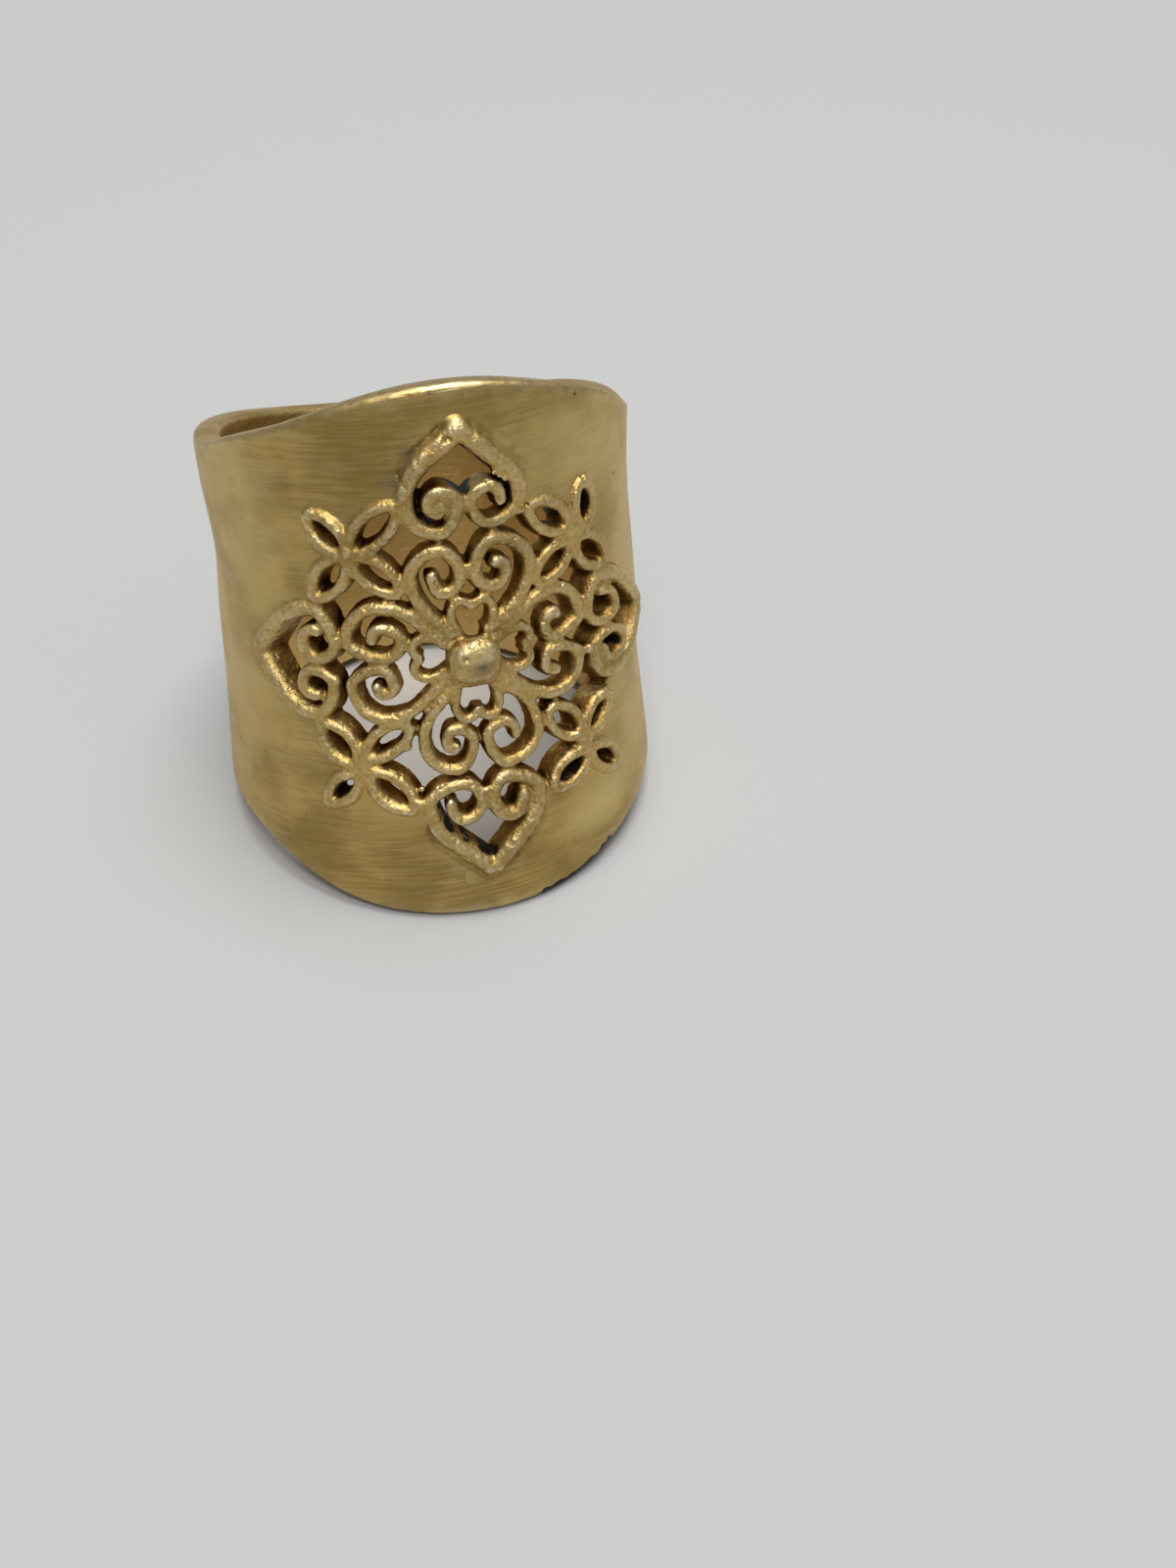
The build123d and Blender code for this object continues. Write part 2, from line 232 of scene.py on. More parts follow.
# Stains. Soot and verdigris sit only on the walls of the openings, tarnish all over the outside.
STAINS = {
    # place, x, y, reach, strength
    "soot_and_rim_shadow": (
        ("top heart, left scroll", -2.20, 8.30, 0.50, 1.0),
        ("top heart, left scroll", -2.20, 7.60, 0.55, 1.0),
        ("top heart, left scroll", -1.70, 6.95, 0.50, 0.9),
        ("top heart, left scroll", -0.70, 6.90, 0.40, 0.7),
        ("top heart, left flank", -1.30, 8.75, 0.40, 0.7),
        ("top heart, right flank", 1.0, 9.0, 0.55, 0.9),
        ("top heart, right scroll", 1.6, 7.3, 0.45, 0.6),
        ("top heart, below its tip", 0.0, 9.95, 0.40, 0.7),
        ("upper right flower, upper leaf", 4.4, 6.0, 0.8, 0.8),
        ("upper right flower, outward leaf", 6.4, 6.3, 0.6, 0.9),
        ("upper left flower, outward leaf", -6.4, 6.1, 0.6, 0.5),
        ("right heart, lower scroll", 7.3, -1.5, 0.7, 1.0),
        ("right heart, lower scroll", 7.9, -1.1, 0.5, 1.0),
        ("right heart, lower scroll", 7.6, -2.2, 0.4, 0.9),
        ("bottom heart, left flank", -2.2, -7.0, 0.55, 1.0),
        ("bottom heart, left flank", -2.0, -8.1, 0.55, 1.0),
        ("bottom heart, left flank", -1.1, -9.1, 0.50, 0.9),
        ("bottom heart, tip", -0.1, -9.8, 0.60, 1.0),
        ("bottom heart, right flank", 2.6, -7.0, 0.45, 0.7),
        ("lower right flower, lower leaf", 4.6, -6.6, 0.9, 0.9),
        ("lower right flower, outward leaf", 6.9, -6.9, 0.6, 0.8),
        ("lower left flower, inward leaf", -3.7, -3.5, 0.4, 1.0),
        ("lower left flower, outward leaf", -6.6, -6.2, 0.5, 0.6),
        ("bottom petal", 0.6, -1.8, 0.7, 0.7),
        ("left petal", -1.9, 0.1, 0.5, 0.5),
    ),
    "verdigris": (
        ("top heart, between the scrolls", 0.0, 8.25, 0.75, 1.0),
        ("bottom heart, left scroll", -0.9, -6.6, 0.5, 0.9),
    ),
    "tarnish_and_shade": (
        ("boss, under its crown", 0.30, -0.28, 0.42, 1.0),
        ("top heart, left flank", -2.95, 8.60, 0.50, 0.45),
        ("top heart, left flank", -2.20, 9.60, 0.40, 0.45),
        # Painted shade beside the flower's leaf
        ("above the upper left flower", -4.9, 7.10, 0.30, 0.25),
    ),
}

# Dark lines along the rims. The one on the lower rim at the right is painted shadow, where the rim stands off
# the floor; the others darken the rim's edge.
RIM_DARK_LINES = (
    # place, rim, degrees from the front, reach, width, strength
    ("lower rim, right", "lower", 27, 14, 0.40, 1.0),
    ("lower rim, left", "lower", -30, 14, 0.20, 0.35),
    ("upper rim, left of the front", "upper", -14, 10, 0.16, 0.35),
)

# Painted light and shade: patches painted darker where the tone is under nought, and lighter where it is
# over. They paint the band's lighter sides and sheen, its darker patches at the upper left, the foot and the
# top, the boss's lit top and the top heart's lit tip; the scuffs and scratches are marks in the metal.
LIGHT_AND_SHADE_TONES = (
    # place, x, y, half along, half across, degrees, tone
    ("upper left", -4.2, 9.2, 2.6, 1.5, 30, -1.0),
    ("upper left, under the rim", -6.5, 10.6, 3.0, 0.8, 18, -0.20),
    ("upper left, scuff", -3.2, 10.1, 1.1, 0.14, 8, 0.22),
    ("upper left, scuff", -5.3, 8.9, 0.8, 0.18, 8, 0.30),
    ("upper right", 6.0, 9.0, 3.6, 2.0, -14, 0.60),
    ("right side", 12.5, 2.0, 4.5, 11.0, 0, 0.65),
    ("left side", -14.5, 1.0, 4.5, 9.0, 0, 0.45),
    ("left of the medallion", -10.5, 7.0, 1.8, 3.6, 20, 0.45),
    ("foot, left", -8.4, -9.9, 4.2, 1.2, -18, -0.70),
    ("foot, middle", 0.5, -11.6, 6.5, 1.6, 0, -0.80),
    ("top, middle", -1.0, 11.7, 6.0, 1.4, 0, -0.40),
    ("foot, under the lower left flower", -4.6, -9.4, 1.8, 0.8, -30, -0.40),
    ("foot, scuff", -2.0, -11.1, 2.4, 0.3, -4, 0.45),
    ("foot, scratch", -3.4, -10.5, 1.2, 0.07, -6, -0.9),
    ("foot, scratch", -1.4, -10.95, 1.0, 0.06, -2, -0.9),
    ("foot, scratch", -4.6, -11.0, 0.9, 0.07, -12, 0.8),
    ("foot, scratch", 0.6, -11.5, 1.3, 0.07, 2, 0.8),
    ("left of the bottom heart", -3.4, -9.2, 1.6, 1.1, -40, -0.55),
    ("right of the bottom heart", 3.6, -9.0, 0.9, 1.2, 30, -0.45),
    ("foot, right of the bottom heart", 3.4, -10.4, 2.2, 0.5, 38, 0.35),
    ("foot, right", 6.2, -9.4, 2.6, 1.3, 32, 0.9),
    ("foot, far right", 10.0, -7.0, 2.4, 2.4, 0, 0.3),
    ("boss", 0.05, 0.50, 1.00, 0.60, 0, 0.90),
    ("top heart, tip", 0.0, 10.8, 0.8, 0.5, 0, 0.60),
)

# Colours of the metal and of what lies on it, linear. The edge colours tint what it mirrors at a flat angle.
METALS = {
    "brass": (0.550, 0.383, 0.130),
    # The dull brass is random dull patches and brushing, and also paints shade on the band
    "dull brass": (0.318, 0.212, 0.064),
    # The bright brass paints light and sheen on the band, with its scuffs
    "bright brass": (0.700, 0.545, 0.240),
    # The rubbed brass is the pale brass of rubbed edges and of the grain, and also paints highlights on the
    # crests
    "rubbed brass": (0.760, 0.655, 0.420),
    # The bore brass paints light on the bore's wall
    "painted light bore brass": (0.720, 0.515, 0.205),
    # The amber brass and the dirt colour are dirt and also painted shade in sheltered corners; the amber
    # brass also makes the grain's dark specks
    "amber brass": (0.250, 0.135, 0.034),
    "dirt_and_shade": (0.036, 0.015, 0.002),
    # The soot colour also paints the shadow under the lower rim at the right
    "soot_and_rim_shadow": (0.008, 0.006, 0.004),
    "verdigris": (0.006, 0.022, 0.014),
    # The tarnish colour also paints shade beside a leaf of the upper left flower
    "tarnish_and_shade": (0.090, 0.088, 0.092),
    "clean edge": (1.0, 1.0, 1.0),
    "dirty edge": (0.60, 0.36, 0.12),
}

# Patterns in the metal. The brushing runs round the band, at a tilt in degrees.
brush_tilt = 4
PATTERNS = (
    # pattern, size in millimetres, detail, stretch
    ("brushing", 1.0, 3.0, (0.45, 0.45, 8.0)),
    ("broad brushing", 1.0, 2.0, (0.25, 0.25, 1.6)),
    ("blotches", 3.2, 3.0, None),
    ("mottling", 0.7, 2.0, None),
    ("grain", 0.20, 4.0, None),
)

# What age() stores for each point and the metal reads: marks of age, and where light and shade are painted
MARKS = ("openwork", "bore", "dull_and_shaded", "bright_and_lit", "rubbed_and_highlit", "groove", "dirt_and_shade", "soot_and_rim_shadow", "verdigris", "tarnish_and_shade")

# Coats of colour over the bare brass, each on the one before. A coat covers as much as its mask says, times
# its pattern, brought from the range low to high to the range least to most.
COATS = (
    # colour, mask, (pattern, low, high, least, most)
    ("dull brass", None, ("blotches", 0.40, 0.68, 0.0, 0.70)),
    ("dull brass", "worked band", ("brushing", 0.45, 0.66, 0.0, 0.50)),
    ("rubbed brass", "worked band", ("broad brushing", 0.50, 0.70, 0.0, 0.16)),
    # Painted shade on the band, with its dark scratches
    ("dull brass", "dull_and_shaded", ("brushing", 0.35, 0.60, 0.40, 1.0)),
    # Painted light and sheen on the band, with its scuffs and light scratches
    ("bright brass", "bright_and_lit", ("brushing", 0.30, 0.60, 0.75, 1.0)),
    # Rubbed edges, also painted highlights on the sharp crests
    ("rubbed brass", "rubbed_and_highlit", None),
    ("rubbed brass", "openwork", ("grain", 0.52, 0.72, 0.0, 0.50)),
    ("amber brass", "openwork", ("grain", 0.32, 0.46, 0.40, 0.0)),
    # Painted light on the bore's wall, up to a little above the middle of the band
    ("painted light bore brass", "bore", None),
    # Dirt and painted shade: sheltered corners and the openings' walls painted amber, then near black
    ("amber brass", None, ("dirt_and_shade", 0.13, 0.42, 0.0, 0.92)),
    ("dirt_and_shade", None, ("dirt_and_shade", 0.44, 0.78, 0.0, 0.94)),
    # Dark line in the groove outside the flanks: dirt and painted shade
    ("dirt_and_shade", "groove", ("mottling", 0.40, 0.65, 0.10, 0.60)),
    # Tarnish, and in one place painted shade beside a leaf
    ("tarnish_and_shade", "tarnish_and_shade", ("mottling", 0.30, 0.60, 0.50, 1.0)),
    ("verdigris", "verdigris", None),
    # Soot, and painted shadow under the lower rim at the right
    ("soot_and_rim_shadow", "soot_and_rim_shadow", None),
)

# What else the patterns are used for, brought to ranges in the same way
SPANS = {
    "worked band": ("blotches", 0.35, 0.60, 0.35, 1.0),
    "rubbing and highlights": ("mottling", 0.30, 0.60, 0.30, 0.95),
    "ragged edge of the shelter": ("mottling", 0.30, 0.70, -0.10, 0.10),
    "edge of the stains": ("mottling", 0.30, 0.70, -0.25, 0.25),
    "dirty edge": ("dirt_and_shade", 0.15, 0.50, 0.0, 1.0),
    "roughness": ("blotches", 0.30, 0.70, 0.40, 0.52),
    "roughness of the grain": ("grain", 0.30, 0.70, -0.04, 0.04),
    "pits": ("mottling", 0.30, 0.40, -0.04, 0.0),
}
stain_low = 0.35
stain_high = 0.65

# What the openwork and its rubbed crests add to the roughness, how much less metallic the openwork is, and
# how strongly stained places mirror
openwork_roughness = 0.03
rubbed_roughness = -0.17
openwork_matte = 0.08
specular_level = 0.15

# Relief in the material, in millimetres
brush_relief = 0.032
grain_relief = 0.060
band_grain_relief = 0.008
blotch_relief = 0.18

# Stage, in metres: a floor, a soft room and two lights turned to the foot of the ring
floor_half = 1.0
FLOOR_COLOUR = (0.372, 0.372, 0.367, 1)
floor_roughness = 0.9
ROOM_COLOUR = (0.97, 0.98, 1.0, 1)
room_strength = 0.33
lights_look_at = (0, 0, 0.01)
LIGHTS = (
    # name, place, side, watts
    ("window_light", (-0.12, -0.46, 1.05), 0.40, 7.8),
    ("ceiling_light", (0.06, 0.08, 0.55), 0.26, 2.60),
)

# Camera: degrees round from the front, down and rolled, and in millimetres its lens, its sensor and its place
camera_azimuth = 17.89
camera_down = 44.23
camera_roll = 3.48
camera_lens = 47.17
camera_sensor = 36
camera_place = (-10.97, -61.04, 57.12)

# The band was bent and hammered by hand: where its wall is pushed out, or in where the push is negative.
BENDS = (
    # place, degrees from the front, height, reach in degrees, reach in height, push
    ("left side, above the middle", -92, 3.5, 30, 2.4, -0.24),
    ("left side, foot", -80, -10.0, 60, 6.0, 0.60),
    ("right side, above the middle", 80, 6.5, 28, 5.0, -0.42),
    ("right side, middle", 86, -2.6, 20, 1.6, -0.12),
    ("right side, foot", 65, -10.0, 45, 4.2, 0.50),
    ("upper left of the front", -38, 8.0, 14, 3.0, -0.14),
    ("upper left of the front", -16, 9.5, 10, 2.0, 0.08),
    ("upper right of the front", 34, 9.5, 12, 2.5, -0.08),
    ("foot of the front", 24, -10.0, 12, 2.0, -0.10),
    ("back", 180, 0.0, 40, 5.0, 0.10),
)

# Where the rims rise above their even curves
RIM_WAVES = (
    # place, rim, degrees from the front, reach, rise
    ("upper rim, left", "upper", -64, 16, 0.30),
    ("upper rim, right", "upper", 46, 18, 0.24),
    ("lower rim, left", "lower", -38, 24, 0.60),
    ("lower rim, right", "lower", 32, 22, 0.34),
)

# Where the medallion's wires stand higher than elsewhere
RAISED = (
    # place, x, y, reach, rise
    ("right heart", 8.8, -0.2, 2.8, 0.36),
    ("top heart's tip", 0.0, 10.8, 1.2, 0.10),
    ("lower right flower", 5.4, -5.2, 1.4, 0.10),
    ("upper left flower", -5.4, 5.6, 1.2, 0.08),
)

# The skin of the casting: how large its lumps and its grain are, how deep, and the share that the band has
SKIN_SIZES = {
    "Lump Size": 0.9,
    "Lump Depth": 0.13,
    "Grain Size": 0.30,
    "Grain Depth": 0.065,
}
SKIN_SEED = 3.7
band_skin = 0.12
openwork_skin = (8.0, 7.0)
proud_skin = 0.1

# Marks of age and of painted light and shade, as (where there is none, where it is full). They count the
# height over the wires' level, the height over the bore's wall, the height up the band, how far the skin
# faces outwards, and its sharpness.
openwork_over = (0.04, 0.16)
walls_over = (0.26, 0.06)
walls_outward = (0.80, 0.50)
walls_off_bore = (0.05, 0.40)
# Less dirt and painted shade where the skin faces outwards
open_outward = (0.45, 0.80)
open_shelter = 0.5
# Where the painted light on the bore's wall fades out, up the band and off the bore
bore_up = (6.5, 3.5)
bore_off_bore = (0.20, 0.05)
# How far over the wires' level the groove's dirt and painted shade reach
groove_over = (0.10, 0.0)
# How sharp an edge is rubbed bright and painted with a highlight
rubbed_sharpness = (0.003, 0.013)
knocked_off_bore = (0.6, 0.9)

# The groove outside the outer hearts' flanks: how far from them, how wide and how deep it is cut
groove_away = 0.60
groove_half = 0.12
groove_depth = 0.07
GROOVES = (
    # heart, half, share of the depth
    ("top", "left", 1.0),
    ("top", "right", 0.3),
    ("left", "right", 0.25),
    ("left", "left", 0.2),
    ("bottom", "right", 0.7),
    ("bottom", "left", 0.8),
    ("right", "right", 0.2),
)

# The hearts' quarter turns from the top one, and the hearts that the flowers' names stand for
QUARTER_TURNS = {"top": 0, "left": 1, "bottom": 2, "right": 3}
HEART_NAMES = {"upper": "top", "lower": "bottom"}

# How finely the parts are drawn, fused, softened and thinned
BAND_COLUMNS = 400
BAND_ROWS = 120
RIM_ROWS = 6
STEPS_A_QUARTER = 10
STEPS_A_STEM = 4
VOXEL = 0.08
SOFTENING = 5
TRIANGLES = 190000

# Shelter: how many rays look for metal round a point, how far, from how far over the skin, and the least that
# they may rise from it
RAYS = 28
RAY_REACH = 1.8
RAY_START = 0.02
RAY_RISE = 0.15

# A millimetre in metres
MM = 0.001


# Paths: lists of (x, y, wire width)


def line(start, end, width, steps):
    """Even points on a straight line."""
    (x, y), (far_x, far_y) = start[:2], end[:2]
    parts = [i / steps for i in range(steps + 1)]
    return [(x + (far_x - x) * part, y + (far_y - y) * part, width) for part in parts]


def arc(centre, radius, start, end, width, steps):
    """Even points on a round arc between two angles."""
    angles = [start + (end - start) * i / steps for i in range(steps + 1)]
    return [(centre[0] + radius * math.cos(a), centre[1] + radius * math.sin(a), width) for a in angles]


def oval_quarter(start, end, heading, turn, share):
    """Points on two tangent eighth-turn arcs, up to this share of the way from start to end."""
    ahead = (math.cos(heading), math.sin(heading))
    inward = (-turn * ahead[1], turn * ahead[0])
    step = (end[0] - start[0], end[1] - start[1])
    along = step[0] * ahead[0] + step[1] * ahead[1]
    across = step[0] * inward[0] + step[1] * inward[1]
    diagonal = math.sqrt(0.5)
    rest = 1 - diagonal
    first = (diagonal * along - rest * across) / (diagonal - rest)
    second = (diagonal * across - rest * along) / (diagonal - rest)
    trail = []
    for i in range(1, STEPS_A_QUARTER + 1):
        part = i / STEPS_A_QUARTER
        if part > share + 1e-6:
            break
        angle = part * math.pi / 2
        eighth = min(angle, math.pi / 4)
        a = first * math.sin(eighth) + second * (math.sin(angle) - math.sin(eighth))
        b = first * (1 - math.cos(eighth)) + second * (math.cos(eighth) - math.cos(angle))
        x = start[0] + a * ahead[0] + b * inward[0]
        y = start[1] + a * ahead[1] + b * inward[1]
        trail.append((x, y, start[2] + (end[2] - start[2]) * part))
    return trail


def heart_side(root, shoulder, curve, quarters=9.0):
    """The right side of a heart: a straight flank, a round shoulder, then quarter by quarter inwards."""
    widest_x, widest_y, wire = curve[0]
    up = math.copysign(1, widest_y - root[1])
    centre = (widest_x - shoulder, widest_y)
    away = (root[0] - centre[0], root[1] - centre[1])
    touch = math.atan2(away[1], away[0]) + up * math.acos(shoulder / math.hypot(*away))
    rounding = arc(centre, shoulder, touch, 0.0, wire, STEPS_A_QUARTER)
    trail = line(root, rounding[0], wire, STEPS_A_QUARTER)[:-1] + rounding
    for i, (here, there) in enumerate(zip(curve, curve[1:])):
        if quarters - i > 0.01:
            trail += oval_quarter(here, there, up * (i + 1) * math.pi / 2, up, quarters - i)
    return trail


def mirrored(trail):
    """The same trail on the other side of the heart."""
    return [(-x, y, width) for x, y, width in trail]


def turned(trail, quarter):
    """The trail turned about the medallion's middle by a number of quarter turns, to the left."""
    angle = quarter * math.pi / 2
    c, s = round(math.cos(angle)), round(math.sin(angle))
    return [(c * x - s * y, s * x + c * y, width) for x, y, width in trail]


def heart_half(row, quarters=None):
    """Half a heart in the flat drawing, from its tip or root to the end of its scroll."""
    kind, place, half, shoulder = row[:4]
    across, along, widest, *distances, turns, wire, _ = row[4:]
    quarter = QUARTER_TURNS[place]
    if kind == "outer":
        x, y, first = turned([(*TIPS[place], flank_wire)], -quarter)[0]
        root, up = (x if half == "right" else -x, y), -1
    else:
        root, up, first = (inner_root_half, inner_root), 1, wire
    ways = ((0, up), (-1, 0), (0, -up), (1, 0)) * 2
    curve = [(across + widest, along, (first + wire) / 2)]
    curve += [(across + x * far, along + y * far, wire) for (x, y), far in zip(ways, distances)]
    trail = heart_side(root, shoulder, curve, turns if quarters is None else quarters)
    flank = 2 * STEPS_A_QUARTER
    shares = [min(i / flank, 1.0) for i in range(len(trail))]
    trail = [(x, y, first + (width - first) * share) for (x, y, width), share in zip(trail, shares)]
    return turned(mirrored(trail) if half == "left" else trail, quarter)


def petal_half(size, root_half, notch):
    """The right half of the small heart petal above the boss, down to its notch."""
    half_width, length = petal_half_width * size, petal_length * size
    widest = (half_width, petal_root + petal_lobe_along * length, petal_wire)
    lobe = (petal_lobe_across * half_width, petal_root + length, petal_wire)
    half = heart_side((root_half, petal_root), petal_shoulder, (widest, lobe))
    x, y, width = half[-1]
    dip = math.atan2(notch, x)
    radius = math.hypot(x, notch) / 2 / math.sin(dip)
    level = math.pi / 2
    return half + arc((x, y - radius), radius, level, level + 2 * dip, width, STEPS_A_QUARTER)[1:]


def leaf_side(x, y, degrees, half_length, half_width, side):
    """One side of a flower's leaf, from the flower's middle outwards."""
    angle = math.radians(degrees)
    swing = 2 * math.atan(half_width / half_length)
    radius = half_length / math.sin(swing)
    away = side * (half_width - radius)
    centre = (x - away * math.sin(angle), y + away * math.cos(angle))
    square = angle + side * math.pi / 2
    return arc(centre, radius, square + side * swing, square - side * swing, leaf_wire, 2 * STEPS_A_QUARTER)


def all_wires():
    """Every wire of the medallion as (trail, height of its top over the band)."""
    wires = [(heart_half(row), HEART_TOPS[row[0]]) for row in SCROLLS]
    for place, shift_across, shift_along, size, root_half, notch in PETALS:
        half = petal_half(size, root_half, notch)
        for side in (half, mirrored(half)):
            moved = [(x + shift_across, y + shift_along, width) for x, y, width in side]
            wires.append((turned(moved, QUARTER_TURNS[place]), petal_top))
    for flower, _, *leaf in LEAVES:
        sides = [leaf_side(*leaf, side) for side in (1, -1)]
        stem = line(FLOWER_MIDDLES[flower], sides[0][0], stem_wire, STEPS_A_STEM)
        wires += [(trail, leaf_top) for trail in (*sides, stem)]
    return wires


def blobs():
    """The blobs of the scrolls and the flowers, as (x, y, diameter, height of the top over the band)."""
    found = []
    for row in SCROLLS:
        x, y, _ = heart_half(row)[-1]
        found.append((x, y, row[-1], HEART_TOPS[row[0]] + scroll_blob_rise))
    for x, y, diameter in FLOWER_MIDDLES.values():
        found.append((x, y, diameter, leaf_top + flower_blob_rise))
    return found


def window_outline():
    """The outline of the hole that the medallion fills, along the middle of its outermost wires."""
    leaves = {row[:2]: row[2:] for row in LEAVES}
    outline = []
    for flower, middle in FLOWER_MIDDLES.items():
        hearts = [HEART_NAMES.get(name, name) for name in flower.split()]
        before, after = hearts if flower in ("upper left", "lower right") else hearts[::-1]
        outward = leaves[flower, "outward"]
        outline += heart_half(OUTER_HALVES[before, "left"], 0.0)
        outline += leaf_side(*leaves[flower, "towards the %s heart" % before], 1)[::-1] + [middle]
        outline += leaf_side(*outward, -1) + leaf_side(*outward, 1)[::-1] + [middle]
        outline += leaf_side(*leaves[flower, "towards the %s heart" % after], -1)
        outline += heart_half(OUTER_HALVES[after, "right"], 0.0)[::-1][:-1]
    return [point[:2] for point in outline]


# Wrapping the flat drawing round the bore


def bell(*shares):
    """1 where all shares of the reach are nought, fading out where any is past 1."""
    return np.exp(-sum(share**2 for share in shares))


def rim_height(rim, angles):
    """How far the upper or the lower rim lies from the bore's middle at angles from the front."""
    facing = np.cos(angles)
    far = np.where(facing > 0, front_height, back_height)
    height = (side_height + (far - side_height) * facing**2) / 2
    for _, which, degrees, reach, rise in RIM_WAVES:
        if which == rim:
            height += rise * bell((np.degrees(angles) - degrees) / reach)
    return height


def bend(angle, height):
    """How far the band's wall is pushed out at these angles and heights."""
    push = np.zeros(len(angle))
    for _, degrees, middle, reach, reach_up, by in BENDS:
        turn = (np.degrees(angle) - degrees + 180) % 360 - 180
        push += by * bell(turn / reach, (height - middle) / reach_up)
    return push


def wrap(points):
    """Flat points laid round the bore."""
    angle = points[:, 0] / band_radius
    radius = bore_radius + points[:, 2] + bend(angle, points[:, 1])
    return np.stack([radius * np.sin(angle), -radius * np.cos(angle), points[:, 1]], 1)


def unwrap(points):
    """Points of the ring laid flat again."""
    angle = np.arctan2(points[:, 0], -points[:, 1])
    radius = np.hypot(points[:, 0], points[:, 1]) - bend(angle, points[:, 2])
    return np.stack([angle * band_radius, points[:, 2], radius - bore_radius], 1)


def distance(drawing, x=0.0, y=0.0):
    """How far points of the flat drawing lie from a place, or from the medallion's middle."""
    return np.hypot(drawing[:, 0] - x, drawing[:, 1] - y)


def crest(points):
    """The level from which the wires' heights count. It sinks towards the medallion's middle."""
    reach = distance(points) / dish_reach
    level = wall - dish_depth * np.clip(1 - reach**2, 0, None)
    for _, x, y, wide, rise in RAISED:
        level += rise * bell(distance(points, x, y) / wide)
    return level


def fade(values, none, full):
    """0 where the values are at none or beyond it, 1 where they are at full or beyond it."""
    return np.clip((values - none) / (full - none), 0, 1)


def read_points(mesh, what="co"):
    """The places of a mesh's points, or their normals."""
    values = np.empty(3 * len(mesh.vertices))
    mesh.vertices.foreach_get(what, values)
    return values.reshape(-1, 3)


def move_points(mesh, places):
    """Put the points of a mesh at these places."""
    mesh.vertices.foreach_set("co", places.ravel())
    mesh.update()


def point_attribute(mesh, name, values):
    """Store one number for each point of a mesh."""
    mesh.attributes.new(name, "FLOAT", "POINT").data.foreach_set("value", np.asarray(values, float))


def point_values(mesh, name):
    """The numbers stored for the points of a mesh."""
    values = np.empty(len(mesh.vertices))
    mesh.attributes[name].data.foreach_get("value", values)
    return values


def new_object(name, data):
    """An object for a mesh, a light or a camera, in the scene."""
    made = bpy.data.objects.new(name, data)
    bpy.context.scene.collection.objects.link(made)
    return made


def new_mesh(name, points, edges, faces):
    """A mesh out of points and the edges or faces between them."""
    mesh = bpy.data.meshes.new(name)
    mesh.from_pydata(points, edges, faces)
    return mesh


def new_material(name):
    """A material, its nodes and its shader."""
    material = bpy.data.materials.new(name)
    material.use_nodes = True
    return material, material.node_tree, material.node_tree.nodes["Principled BSDF"]


def plain_mesh(made):
    """The object's mesh with its modifiers applied. The object itself is removed."""
    graph = bpy.context.evaluated_depsgraph_get()
    mesh = bpy.data.meshes.new_from_object(made.evaluated_get(graph))
    name = made.name
    bpy.data.objects.remove(made)
    mesh.name = name
    return mesh


def through_nodes(name, mesh, tree, sizes):
    """The mesh that a geometry nodes tree makes of this one. Each size is set by its socket's identifier."""
    made = new_object(name, mesh)
    modifier = made.modifiers.new(tree.name, "NODES")
    modifier.node_group = tree
    for socket in tree.interface.items_tree:
        if socket.in_out == "INPUT" and socket.name in sizes:
            modifier[socket.identifier] = sizes[socket.name]
    return plain_mesh(made)


# Nodes


def feed(tree, node, inputs):
    """Set a node's inputs, each by its name or number, or link them where sockets are given."""
    for name, value in inputs.items():
        if isinstance(value, bpy.types.NodeSocket):
            tree.links.new(value, node.inputs[name])
        else:
            node.inputs[name].default_value = value


def new_node(tree, kind, inputs, output=None, **settings):
    """A new node with these settings and inputs, or its output of this name or number."""
    node = tree.nodes.new(kind)
    for name, value in settings.items():
        setattr(node, name, value)
    feed(tree, node, inputs)
    return node if output is None else node.outputs[output]


def calculated(tree, operation, *values):
    """What a math node makes of numbers or sockets."""
    return new_node(tree, "ShaderNodeMath", dict(enumerate(values)), "Value", operation=operation)


def times(tree, *values):
    """The product of numbers or sockets."""
    return functools.reduce(lambda a, b: calculated(tree, "MULTIPLY", a, b), values)


def total(tree, *values):
    """The sum of numbers or sockets."""
    return functools.reduce(lambda a, b: calculated(tree, "ADD", a, b), values)


def rest(tree, value):
    """What the value leaves of 1."""
    return calculated(tree, "SUBTRACT", 1.0, value)


def new_tree(name, sizes):
    """A geometry nodes tree with an input for each size, and what it is given."""
    tree = bpy.data.node_groups.new(name, "GeometryNodeTree")
    tree.interface.new_socket("Geometry", in_out="INPUT", socket_type="NodeSocketGeometry")
    for size, value in sizes.items():
        kind = "NodeSocketInt" if isinstance(value, int) else "NodeSocketFloat"
        tree.interface.new_socket(size, in_out="INPUT", socket_type=kind)
    tree.interface.new_socket("Geometry", in_out="OUTPUT", socket_type="NodeSocketGeometry")
    return tree, tree.nodes.new("NodeGroupInput").outputs


def stored(tree, name):
    """In geometry nodes, a number stored for the points."""
    return new_node(tree, "GeometryNodeInputNamedAttribute", {"Name": name}, "Attribute", data_type="FLOAT")


def finish_tree(tree, geometry, metal):
    """End a geometry nodes tree with real geometry in this metal."""
    real = new_node(tree, "GeometryNodeRealizeInstances", {"Geometry": geometry}, "Geometry")
    coat = new_node(tree, "GeometryNodeSetMaterial", {"Geometry": real, "Material": metal}, "Geometry")
    new_node(tree, "NodeGroupOutput", {"Geometry": coat})
    return tree


# Band


def rim_fall(from_rim):
    """How far the wall's surfaces fall back near its rounded rim."""
    inside = np.clip(rim_round - from_rim, 0, rim_round)
    return rim_round - np.sqrt(rim_round**2 - inside**2)


